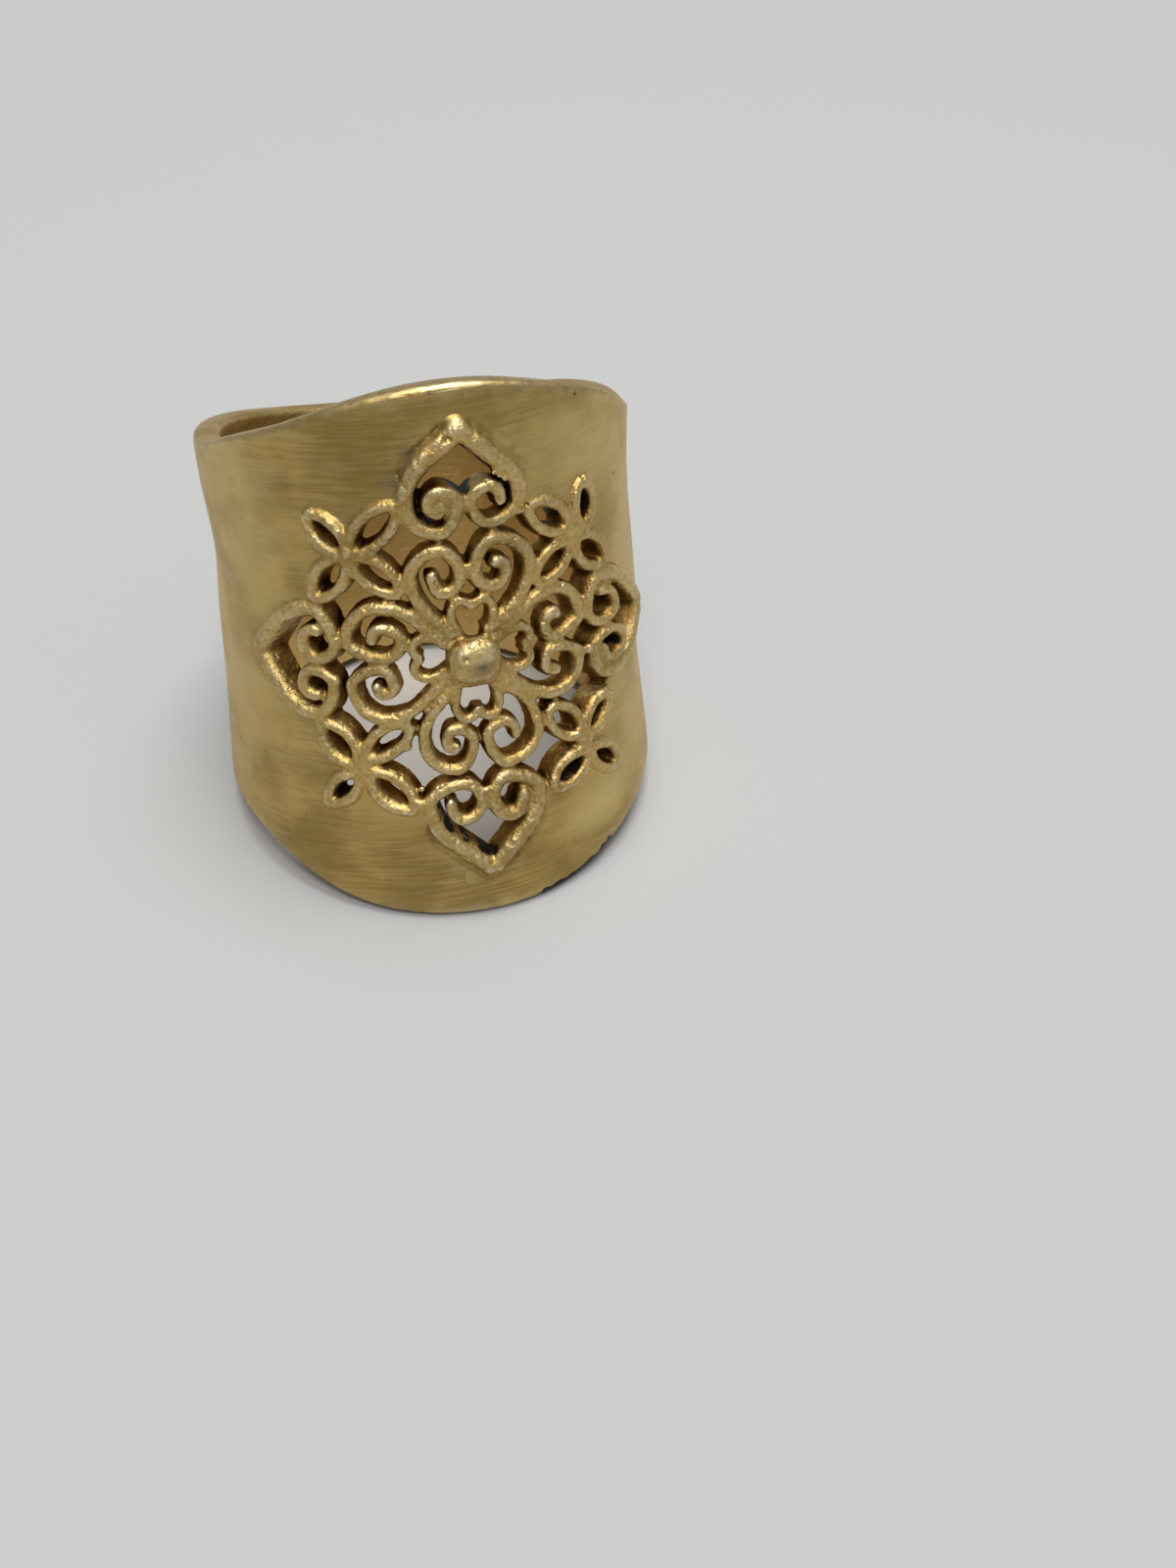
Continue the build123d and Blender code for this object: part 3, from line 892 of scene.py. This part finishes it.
def in_outline(points, outline):
    """Which points lie inside the outline, counted by how often it winds round them."""
    winding = np.zeros(len(points), int)
    x, y = points[:, 0], points[:, 1]
    for (x0, y0), (x1, y1) in zip(outline, outline[1:] + outline[:1]):
        side = (x1 - x0) * (y - y0) - (x - x0) * (y1 - y0)
        winding += (y0 <= y) & (y < y1) & (side > 0)
        winding -= (y1 <= y) & (y < y0) & (side < 0)
    return winding != 0


def pierced(drawing):
    """Which points of the flat drawing lie in the window that the medallion fills."""
    inside = distance(drawing) < medallion_reach
    inside[inside] = in_outline(drawing[inside], window_outline())
    return inside


def make_band():
    """The band, with a window whose stepped edge is hidden in the medallion's outermost wires."""
    x = (np.arange(BAND_COLUMNS) / BAND_COLUMNS - 0.5) * 2 * math.pi * band_radius
    foot = -rim_height("lower", x / band_radius)[:, None]
    tall = rim_height("upper", x / band_radius)[:, None] - foot
    rim = rim_round * (1 - np.cos(np.linspace(0, math.pi / 2, RIM_ROWS + 1)))[:-1]
    flat = rim_round + np.linspace(0, 1, BAND_ROWS + 1) * (tall - 2 * rim_round)
    from_foot = np.concatenate([np.tile(rim, (BAND_COLUMNS, 1)), flat, tall - rim[::-1]], 1)
    fall = rim_fall(np.minimum(from_foot, tall - from_foot))
    places = np.stack([np.broadcast_to(x[:, None], fall.shape), from_foot + foot, fall], 2)
    inner = places.reshape(-1, 3)
    outer = inner * (1, 1, -1) + (0, 0, wall)
    middles = (places[:, :-1] + np.roll(places, -1, 0)[:, 1:]) / 2
    middles[-1, :, 0] = x[-1]
    solid = ~pierced(middles.reshape(-1, 3) - medallion_middle).reshape(BAND_COLUMNS, -1)

    # Each solid quad has an inner and an outer face, and a wall towards each side where no quad follows
    here = np.arange(len(inner)).reshape(BAND_COLUMNS, -1)
    there = np.roll(here, -1, 0)
    rings = np.stack([here[:, :-1], there[:, :-1], there[:, 1:], here[:, 1:]], 2)
    padded = np.pad(solid, ((0, 0), (1, 1)))
    beside = (padded[:, :-2], np.roll(solid, -1, 0), padded[:, 2:], np.roll(solid, 1, 0))
    shift = len(inner)
    faces = [rings[solid][:, ::-1], rings[solid] + shift]
    for i, other in enumerate(beside):
        a, b = rings[solid & ~other][:, [i, (i + 1) % 4]].T
        faces.append(np.stack([a, b, b + shift, a + shift], 1))
    points = wrap(np.concatenate([inner, outer]))
    return new_mesh("band", points.tolist(), [], np.concatenate(faces).tolist())


# Wires


def sweep_tree(metal):
    """Geometry nodes that sweep a round wire along each path, as wide as its half_width attribute."""
    tree, given = new_tree("sweep_wires", SWEEP_SIZES)
    width = stored(tree, "half_width")
    curve = new_node(tree, "GeometryNodeMeshToCurve", {"Mesh": given["Geometry"]}, "Curve")
    curve = new_node(tree, "GeometryNodeSetCurveRadius", {"Curve": curve, "Radius": width}, "Curve")
    curve = new_node(tree, "GeometryNodeSetCurveNormal", {"Curve": curve}, "Curve", mode="Z_UP")
    circle = {"Resolution": given["Sides"], "Radius": 1.0}
    circle = new_node(tree, "GeometryNodeCurvePrimitiveCircle", circle, "Curve")
    swept = {"Curve": curve, "Profile Curve": circle, "Fill Caps": True}
    sweep = new_node(tree, "GeometryNodeCurveToMesh", swept)
    if "Scale" in sweep.inputs:
        feed(tree, sweep, {"Scale": width})
    return finish_tree(tree, sweep.outputs["Mesh"], metal)


def make_wires(metal):
    """All wires as swept tubes, whose lower halves are drawn down to the bore on a slightly wider foot."""
    points, edges, half_widths, tops = [], [], [], []
    for trail, top in all_wires():
        first = len(points)
        for x, y, width in trail:
            points.append((x, y, 0.0))
            half_widths.append(wire_swell * width / 2)
            tops.append(top)
        edges += [(i, i + 1) for i in range(first, len(points) - 1)]
    mesh = new_mesh("wires", points, edges, [])
    middle_x, middle_y, _ = zip(*points)
    numbers = {"half_width": half_widths, "top": tops, "middle_x": middle_x, "middle_y": middle_y}
    for name, values in numbers.items():
        point_attribute(mesh, name, values)
    mesh = through_nodes("wires", mesh, sweep_tree(metal), SWEEP_SIZES)
    half, top = point_values(mesh, "half_width"), point_values(mesh, "top")
    places = read_points(mesh)
    share = np.clip(places[:, 2] / half, -1, 1)
    below = np.clip(-share, 0, straight_part)
    widen = (1 + foot_flare * below) / np.sqrt(1 - below**2)
    for axis, name in enumerate(("middle_x", "middle_y")):
        middle = point_values(mesh, name)
        places[:, axis] = middle + (places[:, axis] - middle) * widen
    middle = crest(places) + top - half
    places[:, 2] = np.where(share > 0, middle + half * share, middle + (middle - wire_foot) * share)
    move_points(mesh, wrap(places + medallion_middle))
    return mesh


def make_lump(x, y, half_across, half_along, low, high, roundness=1.0):
    """A lump of metal in the flat drawing, wrapped round the bore. A low roundness squares it."""
    work = bmesh.new()
    bmesh.ops.create_icosphere(work, subdivisions=4, radius=1.0)
    mesh = bpy.data.meshes.new("lump")
    work.to_mesh(mesh)
    work.free()
    places = read_points(mesh)
    places = np.abs(places) ** roundness * np.sign(places)
    places = places * (half_across, half_along, (high - low) / 2) + (x, y, (low + high) / 2)
    move_points(mesh, wrap(places + medallion_middle))
    return mesh


def round_lump(x, y, diameter, top, foot=None):
    """A round lump whose top is this high over the wires' level. It is a ball where no foot is given."""
    high = float(crest(np.array([[x, y, 0.0]]))[0]) + top
    low = high - diameter if foot is None else foot
    return make_lump(x, y, diameter / 2, diameter / 2, low, high)


def make_lumps():
    """The blobs, the beads of solder and the boss."""
    lumps = [round_lump(*blob, wire_foot) for blob in blobs()]
    lumps += [round_lump(*bead) for _, *bead in BEADS]
    hollow = wall - dish_depth
    for _, x, y, across, along, foot, top, roundness in BOSS:
        lumps.append(make_lump(x, y, across, along, hollow + foot, hollow + top, roundness))
    return lumps


# Casting it in one piece


def skin_tree(metal):
    """Geometry nodes that roughen a cast surface with coarse lumps and a fine grain."""
    tree, given = new_tree("cast_skin", SKIN_SIZES)
    place = new_node(tree, "GeometryNodeInputPosition", {}, "Position")
    pushes = []
    for i, layer in enumerate(("Lump", "Grain")):
        scale = calculated(tree, "DIVIDE", 1.0, given[layer + " Size"])
        shape = {"Vector": place, "W": SKIN_SEED + i, "Scale": scale, "Detail": 1.0}
        noise = new_node(tree, "ShaderNodeTexNoise", shape, "Fac", noise_dimensions="4D")
        pushes.append(times(tree, total(tree, noise, -0.5), given[layer + " Depth"]))
    push = times(tree, total(tree, *pushes), stored(tree, "cast"))
    outwards = {"Vector": new_node(tree, "GeometryNodeInputNormal", {}, "Normal"), "Scale": push}
    outwards = new_node(tree, "ShaderNodeVectorMath", outwards, "Vector", operation="SCALE")
    moved = {"Geometry": given["Geometry"], "Offset": outwards}
    return finish_tree(tree, new_node(tree, "GeometryNodeSetPosition", moved, "Geometry"), metal)


def joined(name, meshes):
    """Several meshes in one."""
    work = bmesh.new()
    for mesh in meshes:
        work.from_mesh(mesh)
    mesh = bpy.data.meshes.new(name)
    work.to_mesh(mesh)
    work.free()
    return mesh


def drop_crumbs(mesh):
    """Remove the loose slivers that thinning leaves inside the metal."""
    body = bmesh.new()
    body.from_mesh(mesh)
    loose, parts = set(body.verts), []
    while loose:
        front = {loose.pop()}
        parts.append(set(front))
        while front:
            front = {edge.other_vert(point) for point in front for edge in point.link_edges} & loose
            loose -= front
            parts[-1] |= front
    crumbs = [point for part in sorted(parts, key=len)[:-1] for point in part]
    bmesh.ops.delete(body, geom=crumbs, context="VERTS")
    body.to_mesh(mesh)
    body.free()


def cast(meshes, metal):
    """One closed body out of overlapping ones, with its inner corners filled and its skin roughened."""
    name = "openwork_ring_body"
    body = new_object(name, joined(name, meshes))
    fuse = body.modifiers.new("fuse", "REMESH")
    fuse.mode = "VOXEL"
    fuse.voxel_size = VOXEL
    soften = body.modifiers.new("soften", "SMOOTH")
    soften.iterations = SOFTENING
    mesh = plain_mesh(body)
    flat = unwrap(read_points(mesh))
    near = fade(distance(flat - medallion_middle), *openwork_skin)
    rough = np.maximum(near, fade(flat[:, 2], wall, wall + proud_skin))
    point_attribute(mesh, "cast", band_skin + (1 - band_skin) * rough)
    mesh = through_nodes(name, mesh, skin_tree(metal), SKIN_SIZES)
    knock(mesh)
    count = sum(len(face.vertices) - 2 for face in mesh.polygons)
    body = new_object(name, mesh)
    body.modifiers.new("thin", "DECIMATE").ratio = TRIANGLES / count
    mesh = plain_mesh(body)
    drop_crumbs(mesh)
    age(mesh)
    return mesh


def groove(drawing):
    """How deep points of the flat drawing lie in the groove outside the outer hearts' flanks."""
    cover = np.zeros(len(drawing))
    near = (distance(drawing) < medallion_reach) & ~pierced(drawing)
    x, y = drawing[near, 0], drawing[near, 1]
    deep = np.zeros(len(x))
    for heart, half, share in GROOVES:
        trail = heart_half(OUTER_HALVES[heart, half], 0.0)[: STEPS_A_QUARTER + 4]
        away = np.full(len(x), np.inf)
        for (x0, y0, _), (x1, y1, _) in zip(trail, trail[1:]):
            long = (x1 - x0) ** 2 + (y1 - y0) ** 2
            part = np.clip(((x - x0) * (x1 - x0) + (y - y0) * (y1 - y0)) / long, 0, 1)
            away = np.minimum(away, np.hypot(x - x0 - part * (x1 - x0), y - y0 - part * (y1 - y0)))
        deep = np.maximum(deep, share * bell((away - groove_away) / groove_half))
    cover[near] = deep
    return cover


def knock(mesh):
    """Sink the groove and the small pits into the outside of the casting."""
    flat = unwrap(read_points(mesh))
    outside = fade(flat[:, 2], *knocked_off_bore)
    drawing = flat - medallion_middle
    flat[:, 2] -= groove_depth * outside * groove(drawing)
    for _, x, y, reach, depth, _ in PITS:
        flat[:, 2] -= depth * outside * bell(distance(drawing, x, y) / reach)
    move_points(mesh, wrap(flat))


def evened(mesh, values, rounds):
    """Values of the points, evened out along the edges."""
    ends = np.empty(2 * len(mesh.edges), np.int32)
    mesh.edges.foreach_get("vertices", ends)
    a, b = ends[::2], ends[1::2]
    size = len(mesh.vertices)
    count = 1 + np.bincount(ends, minlength=size)
    for _ in range(rounds):
        values = (values + np.bincount(a, values[b], size) + np.bincount(b, values[a], size)) / count
    return values


def shelter(mesh):
    """How far each point is shut in by the metal round it, from 0 in the open to 1 deep in a corner."""
    rays = np.random.default_rng(7).normal(size=(RAYS, 3))
    rays = [Vector(ray).normalized() for ray in rays]
    body = bmesh.new()
    body.from_mesh(mesh)
    tree = BVHTree.FromBMesh(body)
    shut = []
    for point in body.verts:
        start = point.co + RAY_START * point.normal
        facing = [ray for ray in rays if ray.dot(point.normal) > RAY_RISE]
        hits = sum(tree.ray_cast(start, ray, RAY_REACH)[0] is not None for ray in facing)
        shut.append(hits / max(len(facing), 1))
    body.free()
    return np.array(shut)


def sharpness(mesh):
    """How far each point stands out over the points beside it, in millimetres."""
    places = read_points(mesh)
    around = np.stack([evened(mesh, places[:, axis], 1) for axis in range(3)], 1)
    return np.sum((places - around) * read_points(mesh, "normal"), 1)


def outward(mesh):
    """How far each point's skin faces away from the bore: 1 on the crests, 0 on the openings' walls."""
    places, normals = read_points(mesh)[:, :2], read_points(mesh, "normal")[:, :2]
    return np.sum(places * normals, 1) / np.maximum(np.hypot(*places.T), 1e-6)


def stains(flat, over, walls):
    """How strongly each point is stained, for each kind of stain. The dark lines along the rims go in with
    the soot; the one on the lower rim at the right is painted shadow.
    """
    drawing = flat - medallion_middle
    cover = {kind: np.zeros(len(flat)) for kind in STAINS}
    for kind, places in STAINS.items():
        where = (over > -0.6) if kind == "tarnish_and_shade" else walls
        for _, x, y, reach, strength in places:
            cover[kind] = np.maximum(cover[kind], strength * bell(distance(drawing, x, y) / reach) * where)
    for _, x, y, reach, _, soot_and_rim_shadow in PITS:
        pit = bell(distance(drawing, x, y) / reach) * (over > -0.4)
        cover["soot_and_rim_shadow"] = np.maximum(cover["soot_and_rim_shadow"], soot_and_rim_shadow * pit)
    angles = flat[:, 0] / band_radius
    # Dark lines along the rims; the one on the lower rim at the right is painted shadow
    for _, rim, degrees, reach, width, strength in RIM_DARK_LINES:
        away = rim_height(rim, angles) - flat[:, 1] * (1 if rim == "upper" else -1)
        near = np.clip(1.3 - away / width, 0, 1)
        along = bell((np.degrees(angles) - degrees) / reach)
        cover["soot_and_rim_shadow"] = np.maximum(cover["soot_and_rim_shadow"], strength * near * np.minimum(1.6 * along, 1))
    return cover


def light_and_shade_tones(flat):
    """How much lighter or darker each point of the outside is painted: painted light and shade, with the
    scuffs and scratches.
    """
    tone = np.zeros(len(flat))
    for _, x, y, half_along, half_across, degrees, strength in LIGHT_AND_SHADE_TONES:
        away_x, away_y = (flat - medallion_middle)[:, :2].T - np.array([[x], [y]])
        c, s = math.cos(math.radians(degrees)), math.sin(math.radians(degrees))
        along = (away_x * c + away_y * s) / half_along
        across = (away_y * c - away_x * s) / half_across
        tone += strength * bell(along, across)
    return tone * (flat[:, 2] > 0.6)


def age(mesh):
    """Store where the casting is rubbed bright and painted with highlights, where dirt gathers and shade is
    painted, where light and shade are painted on the band, where light is painted in the bore, and where it
    is stained.
    """
    flat = unwrap(read_points(mesh))
    drawing = flat - medallion_middle
    height, depth = flat[:, 1], flat[:, 2]
    over = depth - crest(drawing)
    facing = outward(mesh)
    inside = fade(over, *walls_over) * fade(facing, *walls_outward) * pierced(drawing)
    tone = light_and_shade_tones(flat)
    marks = {
        "openwork": np.maximum(fade(over, *openwork_over), inside * (depth > 0.15)),
        # Painted light on the bore's wall
        "bore": fade(height, *bore_up) * fade(depth, *bore_off_bore),
        # Painted shade and light on the band, with the scuffs and scratches
        "dull_and_shaded": np.clip(-tone, 0, 1),
        "bright_and_lit": np.clip(tone, 0, 1),
        # Sharp edges, rubbed bright and also painted with highlights
        "rubbed_and_highlit": fade(evened(mesh, sharpness(mesh), 2), *rubbed_sharpness) * (1 - inside),
        # The groove's dark line: dirt and painted shade
        "groove": groove(drawing) * fade(over, *groove_over) * (depth > 0.8),
        # Dirt and painted shade, by how shut in each point is
        "dirt_and_shade": evened(mesh, shelter(mesh), 2) * (1 - open_shelter * fade(facing, *open_outward)),
        # Stains, with the painted shadow along the lower rim
        **stains(flat, over, inside * fade(depth, *walls_off_bore)),
    }
    for name in MARKS:
        point_attribute(mesh, name, marks[name])


def ring_lean():
    """How far the ring's bore leans back from upright."""
    return math.atan2(bore_mount["axis"][1], bore_mount["axis"][2])


def lay_down(mesh):
    """Set the ring down where the frame's bore is, in metres."""
    axis = Vector(bore_mount["axis"])
    across = Vector((1, 0, 0))
    turn = Matrix((across, axis.cross(across), axis)).transposed().to_4x4()
    mesh.transform(Matrix.Translation(bore_mount["pos_m"]) @ turn @ Matrix.Scale(MM, 4))


# Finish


def attribute(tree, name):
    """In a material, a number stored for the points."""
    return new_node(tree, "ShaderNodeAttribute", {}, "Fac", attribute_name=name)


def ramp(tree, value, low, high, least, most):
    """The value brought smoothly from the range low to high to the range least to most."""
    ranges = {"Value": value, "From Min": low, "From Max": high, "To Min": least, "To Max": most}
    return new_node(tree, "ShaderNodeMapRange", ranges, "Result", interpolation_type="SMOOTHSTEP")


def blended(tree, factor, first, second):
    """The first colour, and the second one where the factor is high. A colour is a socket or a name."""
    first, second = (METALS[c] + (1,) if isinstance(c, str) else c for c in (first, second))
    # Inputs 6 and 7 and output 2 of this node are its colours
    return new_node(tree, "ShaderNodeMix", {"Factor": factor, 6: first, 7: second}, 2, data_type="RGBA")


def cloud(tree, place, size, detail, stretch):
    """Soft noise whose lumps are this many millimetres large."""
    if stretch:
        place = new_node(tree, "ShaderNodeMapping", {"Vector": place, "Scale": stretch}, "Vector")
    shape = {"Vector": place, "Scale": 1 / (size * MM), "Detail": detail}
    return new_node(tree, "ShaderNodeTexNoise", shape, "Fac")


def brushed_place(tree):
    """Places on the ring, turned so that the brushing runs round the band."""
    place = new_node(tree, "ShaderNodeTexCoord", {}, "Object")
    turn = (ring_lean(), math.radians(brush_tilt), 0)
    return new_node(tree, "ShaderNodeMapping", {"Vector": place, "Rotation": turn}, "Vector")


def gold_metal():
    """Old matte brass: brushed on the band, grainy on the wires, dirty in the corners, with painted shade in
    the corners, painted light and shade on the band, painted highlights on the crests and painted light in
    the bore.
    """
    material, tree, shader = new_material("gold_metal")
    place = brushed_place(tree)
    masks = {pattern: cloud(tree, place, *shape) for pattern, *shape in PATTERNS}
    masks.update({mark: attribute(tree, mark) for mark in MARKS})
    openwork = masks["openwork"]

    def spread(pattern, *ranges):
        return ramp(tree, masks[pattern], *ranges)

    # Where each coat lies
    masks["worked band"] = times(tree, spread(*SPANS["worked band"]), rest(tree, openwork))
    masks["rubbed_and_highlit"] = times(tree, masks["rubbed_and_highlit"], spread(*SPANS["rubbing and highlights"]))
    # The ragged edge of the dirt and painted shade
    masks["dirt_and_shade"] = total(tree, masks["dirt_and_shade"], spread(*SPANS["ragged edge of the shelter"]))
    edge = spread(*SPANS["edge of the stains"])
    for stain in ("verdigris", "soot_and_rim_shadow"):
        masks[stain] = ramp(tree, total(tree, masks[stain], edge), stain_low, stain_high, 0.0, 1.0)

    colour = "brass"
    for coat, mask, pattern in COATS:
        shares = [masks[mask]] if mask else []
        shares += [spread(*pattern)] if pattern else []
        colour = blended(tree, times(tree, *shares), colour, coat)

    bare = rest(tree, calculated(tree, "MAXIMUM", masks["soot_and_rim_shadow"], masks["verdigris"]))
    matte = rest(tree, times(tree, openwork, openwork_matte))
    rough = total(
        tree,
        spread(*SPANS["roughness"]),
        spread(*SPANS["roughness of the grain"]),
        times(tree, openwork, openwork_roughness),
        times(tree, masks["rubbed_and_highlit"], rubbed_roughness),
    )
    grain_depth = total(tree, times(tree, openwork, grain_relief), band_grain_relief)
    relief = total(
        tree,
        times(tree, masks["brushing"], brush_relief, masks["worked band"]),
        times(tree, masks["grain"], grain_depth),
        times(tree, spread(*SPANS["pits"]), openwork),
        times(tree, masks["blotches"], blotch_relief),
    )
    finish = {
        "Base Color": colour,
        "Specular Tint": blended(tree, spread(*SPANS["dirty edge"]), "clean edge", "dirty edge"),
        "Specular IOR Level": specular_level,
        "Metallic": times(tree, bare, matte),
        "Roughness": rough,
        "Normal": new_node(tree, "ShaderNodeBump", {"Height": relief, "Distance": MM}, "Normal"),
    }
    feed(tree, shader, finish)
    return material


# Stage


def make_floor():
    """A pale floor."""
    corners = [(x * floor_half, y * floor_half, 0) for x, y in ((-1, -1), (1, -1), (1, 1), (-1, 1))]
    floor = new_object("floor", new_mesh("floor", corners, [], [(0, 1, 2, 3)]))
    paint, tree, shader = new_material("floor_paint")
    feed(tree, shader, {"Base Color": FLOOR_COLOUR, "Roughness": floor_roughness})
    floor.data.materials.append(paint)


def make_lights():
    """A soft room and soft lights."""
    world = bpy.data.worlds.new("soft_room")
    bpy.context.scene.world = world
    world.use_nodes = True
    room = world.node_tree.nodes["Background"]
    feed(world.node_tree, room, {"Color": ROOM_COLOUR, "Strength": room_strength})
    for name, place, size, power in LIGHTS:
        light = bpy.data.lights.new(name, "AREA")
        light.size = size
        light.energy = power
        lamp = new_object(name, light)
        lamp.location = place
        lamp.rotation_euler = (Vector(lights_look_at) - Vector(place)).to_track_quat("-Z", "Y").to_euler()
    bpy.context.scene.view_settings.view_transform = "Standard"


def make_camera():
    """The camera at the photograph's viewing angle."""
    azimuth, down, roll = (math.radians(a) for a in (camera_azimuth, camera_down, camera_roll))
    data = bpy.data.cameras.new("camera")
    data.sensor_fit = "HORIZONTAL"
    data.sensor_width = camera_sensor
    data.lens = camera_lens
    data.clip_start = MM
    camera = new_object("camera", data)
    turn = Matrix.Rotation(-azimuth, 4, "Z") @ Matrix.Rotation(math.pi / 2 - down, 4, "X")
    turn = turn @ Matrix.Rotation(roll, 4, "Z")
    camera.matrix_world = Matrix.Translation(Vector(camera_place) * MM) @ turn
    bpy.context.scene.camera = camera


make_camera()
make_floor()
make_lights()
metal = gold_metal()
body = cast([make_band(), make_wires(metal)] + make_lumps(), metal)
lay_down(body)
ring = new_object("gold_ring", body)
body.materials.clear()
body.materials.append(metal)
body.shade_smooth()
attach(ring, "root")
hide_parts("openwork_ring")
